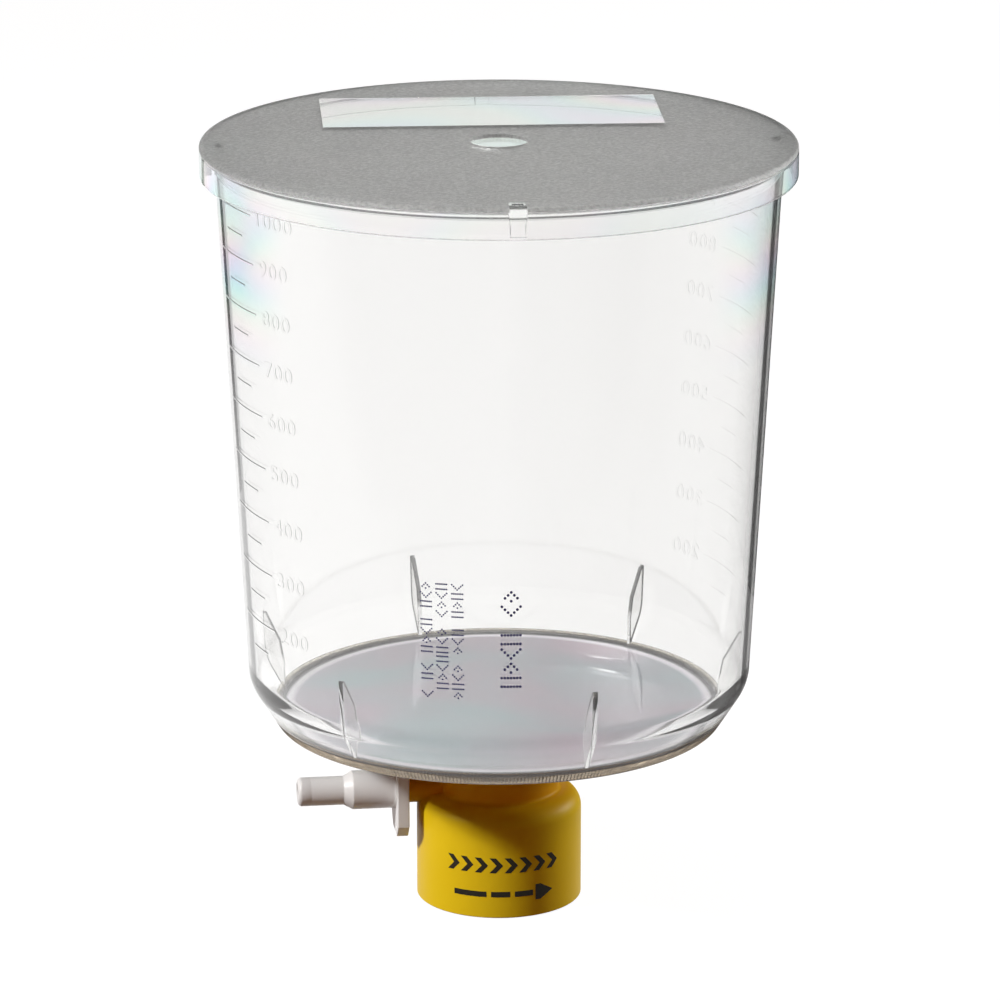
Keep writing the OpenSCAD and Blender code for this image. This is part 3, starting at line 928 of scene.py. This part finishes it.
# Painted shade: the top faces are near black inward of 47.4 mm, under the funnel's foot, and pale
# from 47.9 mm out.
rim_top_shade = ramp(tree, length(tree, flattened(tree, spot)), MM * 47.4, MM * 47.9, 0.05, 0.85)
# Painted light: the side faces are a mottled tan and the underside a paler warm tone, a slight
# warm tint of the plastic deepened with the yellow adapter's colour seen through it.
tone = blended(tree, noise(tree, spot, 120.0, 2.0), (0.5, 0.42, 0.31, 1), (0.62, 0.53, 0.41, 1))
tone = blended(tree, under(tree, lying, -0.9), tone, (0.78, 0.7, 0.58, 1))
tone = blended(tree, over(tree, lying, 0.9), tone, grey(tree, rim_top_shade, 0.96))
clear_plastic(tree, {"Base Color": tone, "Roughness": 0.05, "Transmission Weight": 0.75})
painted(plate_mesh, paint)
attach(plate, "filter_body")
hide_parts("support_plate")


# ---- Neck adapter ------------------------------------------------------------------
# A yellow screw collar with a plain neck bonded into the support plate and a side port
# for the vacuum. It is injection-moulded, slightly translucent and semi-gloss.
COLLAR_R, NECK_R, BORE_R, ROOT_R = 17.4, 12.6, 10.8, 16.45
COLLAR_H, PORT_Z, PORT_END = 23.3, 23.8, 19.7
outline = ([(ROOT_R, 0.25), (ROOT_R + 0.25, 0)] + bend((COLLAR_R - 0.3, 0.3), 0.3, -90, 0, 5)
           + bend((COLLAR_R - 4, COLLAR_H - 4), 4, 0, 90, 14)
           + bend((NECK_R + 0.8, COLLAR_H + 0.8), 0.8, 270, 180, 6)
           + [(NECK_R, DISC_Z), (BORE_R, DISC_Z), (BORE_R, 20.0), (16.0, 20.0), (16.0, 18.4),
              (ROOT_R, 18.4)])


def along_port(r, a, s):
    """Place on a form turned about the side port, by distance from the main axis."""
    return -s, r * cos(a), PORT_Z + r * sin(a)


def thread_ridge():
    """Helical ridge of the collar's thread, faded out at both ends."""
    turns, pitch, steps, start_z = 2.2, 4.0, 220, 3.0
    points = []
    for i in range(steps + 1):
        t = i / steps
        a, z = 2 * pi * turns * t, start_z + pitch * turns * t
        crest = ROOT_R - (1.15 * min(1, 12 * t, 12 * (1 - t)) + 0.02)
        points += [upright_place(r, a, z + up) for r, up in (
            (ROOT_R + 0.3, -1.3), (crest, -0.4), (crest, 0.4), (ROOT_R + 0.3, 1.3))]
    ends = [(0, 1, 2, 3), tuple(range(4 * steps, 4 * steps + 4))]
    return mesh_from("thread", points, side_faces(4, steps) + ends)


port_solid = [(0, BORE_R + 0.9), (3.1, BORE_R + 0.9), (3.1, PORT_END - 0.2), (2.9, PORT_END),
              (0, PORT_END)]
port_bore = [(0, BORE_R - 1), (2.1, BORE_R - 1), (2.1, PORT_END + 1), (0, PORT_END + 1)]
adapter_mesh = merged(turned("neck_adapter", outline, 200), thread_ridge())
adapter_mesh = merged(adapter_mesh, turned("port", port_solid, 64, along_port))
adapter_mesh = merged(adapter_mesh, turned("port_bore", port_bore, 64, along_port), "DIFFERENCE")
adapter_mesh = smoothed(adapter_mesh, 30)
adapter = placed("screw_adapter", adapter_mesh)

# Skin of an opaque moulding: colour that varies a little, fine grain and faint scuffs.
moulded_skin, given, result = group_tree(
    "moulded_skin",
    [("Color", "Color", (0.8, 0.8, 0.8, 1)), ("Deep Color", "Color", (0.6, 0.6, 0.6, 1)),
     ("Roughness", "Float", 0.35), ("Grain", "Float", 1500.0), ("Depth", "Float", 0.1)],
    [("Color", "Color"), ("Roughness", "Float"), ("Normal", "Vector")])
tree = moulded_skin
spot = here(tree)
share = ramp(tree, noise(tree, spot, 90.0, 3.0), 0.35, 0.75, 0.0, 0.22)
stretch = add_node(tree, "Mapping", {"Vector": spot, "Scale": (1, 1, 0.15)}).outputs[0]
rubs = arith(tree, "SUBTRACT", noise(tree, stretch, 700.0, 4.0), 0.5)
bump = add_node(tree, "Bump", {"Strength": given["Depth"], "Distance": RELIEF,
                               "Height": noise(tree, spot, given["Grain"], 2.0)})
for label, value in (("Color", blended(tree, share, given["Color"], given["Deep Color"])),
                     ("Roughness", arith(tree, "MULTIPLY_ADD", rubs, 0.12, given["Roughness"])),
                     ("Normal", bump.outputs[0])):
    tree.links.new(value, result.inputs[label])


def moulding(tree, colour, deep, rough, grain, depth, gloss=()):
    """Ends the material of an opaque moulding: its skin, and its gloss where it has one."""
    skin = use_group(tree, moulded_skin, {"Color": colour, "Deep Color": deep, "Depth": depth,
                                          "Roughness": rough, "Grain": grain})
    opaque(tree, {"Base Color": skin["Color"], "Roughness": skin["Roughness"],
                  "Normal": skin["Normal"], **dict(gloss)})


paint, tree = node_tree(None, "yellow_moulding")
# Painted shade: by the mask thick, from just below the top of the collar up, the neck is a deeper
# orange, where it lies in shade under the plate.
thick = ramp(tree, axes(tree, here(tree))[2], MM * (COLLAR_H - 2.4), MM * (COLLAR_H + 1.2))
tone = blended(tree, thick, (0.86, 0.6, 0.012, 1), (0.98, 0.5, 0.003, 1))
moulding(tree, tone, (0.84, 0.54, 0.006, 1), 0.4, 1400.0, 0.08,
         {"Specular IOR Level": 0.13, "Specular Tint": (1, 0.9, 0.6, 1)})
painted(adapter_mesh, paint)
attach(adapter, "filter_body")
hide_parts("neck_adapter")

# Pad-printed marks on the collar's front that show which way it screws tight: a row of
# chevrons, and below it a dashed arrow.
front_turn, chevron_z, arrow_z = 265.5, 11.7, 5.3


def collar_r(z):
    """Radius of the collar's straight wall at any height, in millimetres."""
    return COLLAR_R


marks = []
for k in range(8):
    left = -12.2 + 3.15 * k
    rows = []
    for v in np.linspace(-1.65, 1.65, 9):
        lean = 1.5 * (1 - abs(v) / 1.65)
        rows.append((v, left + lean, left + 1.35 + lean))
    marks.append(inked(rows, collar_r, front_turn, chevron_z))
for left, right in ((-10.6, -3.4), (-2.4, 1.6), (2.6, 6.6)):
    marks.append(inked([(-0.6, left, right), (0.6, left, right)],
                       collar_r, front_turn, arrow_z, columns=int((right - left) / 0.4)))
marks.append(inked([(v, 7.2, 11.4 - 3.0 * abs(v) / 1.7) for v in np.linspace(-1.7, 1.7, 9)],
                   collar_r, front_turn, arrow_z, columns=8))
print_mesh = gathered("collar_print", marks)
collar_print = placed("collar_print", print_mesh)
painted(print_mesh, ink_paint("black_print", 1600.0, 3.0, (0.008, 0.007, 0.006, 1),
                              (0.03, 0.025, 0.012, 1), 0.45, 0.15))
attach(collar_print, "filter_body")


# ---- Bottle seal -------------------------------------------------------------------
# A soft white ring in the roof of the collar that seals on the bottle's lip. It is
# stamped from elastomer sheet and has two raised sealing beads below.
outline = [(11.6, 18.8), (11.75, 18.62), (12.7, 18.62), (12.95, 18.42), (13.2, 18.62),
           (14.3, 18.62), (14.55, 18.42), (14.8, 18.62), (15.75, 18.62), (15.9, 18.8),
           (15.9, 19.85), (15.75, 20.0), (11.75, 20.0), (11.6, 19.85)]
seal_mesh = smoothed(turned("bottle_seal", outline, 160), 40)
seal = placed("seal_ring", seal_mesh)
paint, tree = node_tree(None, "white_elastomer")
moulding(tree, (0.8, 0.8, 0.76, 1), (0.68, 0.68, 0.64, 1), 0.55, 2200.0, 0.2)
painted(seal_mesh, paint)
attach(seal, "filter_body")
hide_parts("bottle_seal")


# ---- Hose connector ----------------------------------------------------------------
# A satin white moulding pushed into the side port: an eight-sided flange, a wide barrel
# and a narrow barrel for vacuum hose, bored through and counterbored for a filter plug.
FLANGE_END, BARREL_END, TIP_END = 22.2, 31.4, 42.8
outline = ([(0, 14.7), (1.85, 14.7), (2.05, 14.9), (2.05, 20.5), (4.25, 20.5),
            (4.25, FLANGE_END + 0.15), (4.1, FLANGE_END + 0.4), (4.1, BARREL_END - 0.5)]
           + bend((3.5, BARREL_END - 0.35), 0.6, 0, 35, 4)
           + bend((3.65, BARREL_END + 1.9), 0.6, 215, 180, 4)
           + [(3.05, 39.85), (3.02, 39.95), (3.02, 40.05), (3.05, 40.15)]
           + bend((2.15, TIP_END - 0.9), 0.9, 0, 90, 8) + [(0, TIP_END)])


def flange_block():
    """The flange: eight-sided, taller than wide, with its edges eased."""
    x, y, cut = 9.5, 6.5, 2.9
    outline = [(x - cut, y), (cut - x, y), (-x, y - cut), (-x, cut - y), (cut - x, -y),
               (x - cut, -y), (x, cut - y), (x, y - cut)]
    return prism("flange", outline, FLANGE_END - PORT_END,
                 lambda up, out, w: (-PORT_END - w, out, PORT_Z + up), 0.25)


bores = [(0, 13.7), (1.2, 13.7), (1.2, 35.0), (2.0, 35.0), (2.0, TIP_END + 1),
         (0, TIP_END + 1)]
connector_mesh = merged(turned("hose_connector", outline, 72, along_port), flange_block())
connector_mesh = merged(connector_mesh, turned("bores", bores, 72, along_port), "DIFFERENCE")
connector_mesh = smoothed(connector_mesh, 30)
connector = placed("stepped_connector", connector_mesh)
paint, tree = node_tree(None, "white_moulding")
moulding(tree, (0.86, 0.86, 0.855, 1), (0.8, 0.795, 0.78, 1), 0.42, 1800.0, 0.1)
painted(connector_mesh, paint)
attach(connector, "filter_body")
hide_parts("hose_connector")


# ---- Filter plug -------------------------------------------------------------------
# A short plug of pressed white fibre in the narrow barrel that keeps the vacuum line
# clean. It is pushed in from the tip and shows only there.
rng = np.random.default_rng(11)
bumps = rng.uniform(0, 0.12, 400)
outline = ([(0, 35.0), (1.8, 35.0), (1.94, 35.2), (1.94, 41.6)]
           + [(1.94 * cos(t), 41.6 + 0.35 * sin(t)) for t in np.linspace(0.15, pi / 2, 10)])
outline[-1] = (0, 41.95)


def felted(r, a, s):
    """Place on the plug, roughened by its fibres at the open end."""
    pick_one = int(abs(sin(9 * a + 31 * r)) * 399)
    return along_port(r, a, s - (bumps[pick_one] if s > 41 and r > 1e-6 else 0))


plug_mesh = smoothed(turned("filter_plug", outline, 48, felted), 60)
plug = placed("filter_plug", plug_mesh)
paint, tree = node_tree(None, "pressed_fibre")
strands = noise(tree, here(tree), 2400.0, 4.0, 3.0)
tone = blended(tree, strands, (0.62, 0.61, 0.57, 1), (0.88, 0.88, 0.86, 1))
bump = add_node(tree, "Bump", {"Strength": 0.7, "Distance": RELIEF, "Height": strands})
opaque(tree, {"Base Color": tone, "Roughness": 0.85, "Normal": bump})
painted(plug_mesh, paint)
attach(plug, "filter_body")
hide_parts("plug_filter")
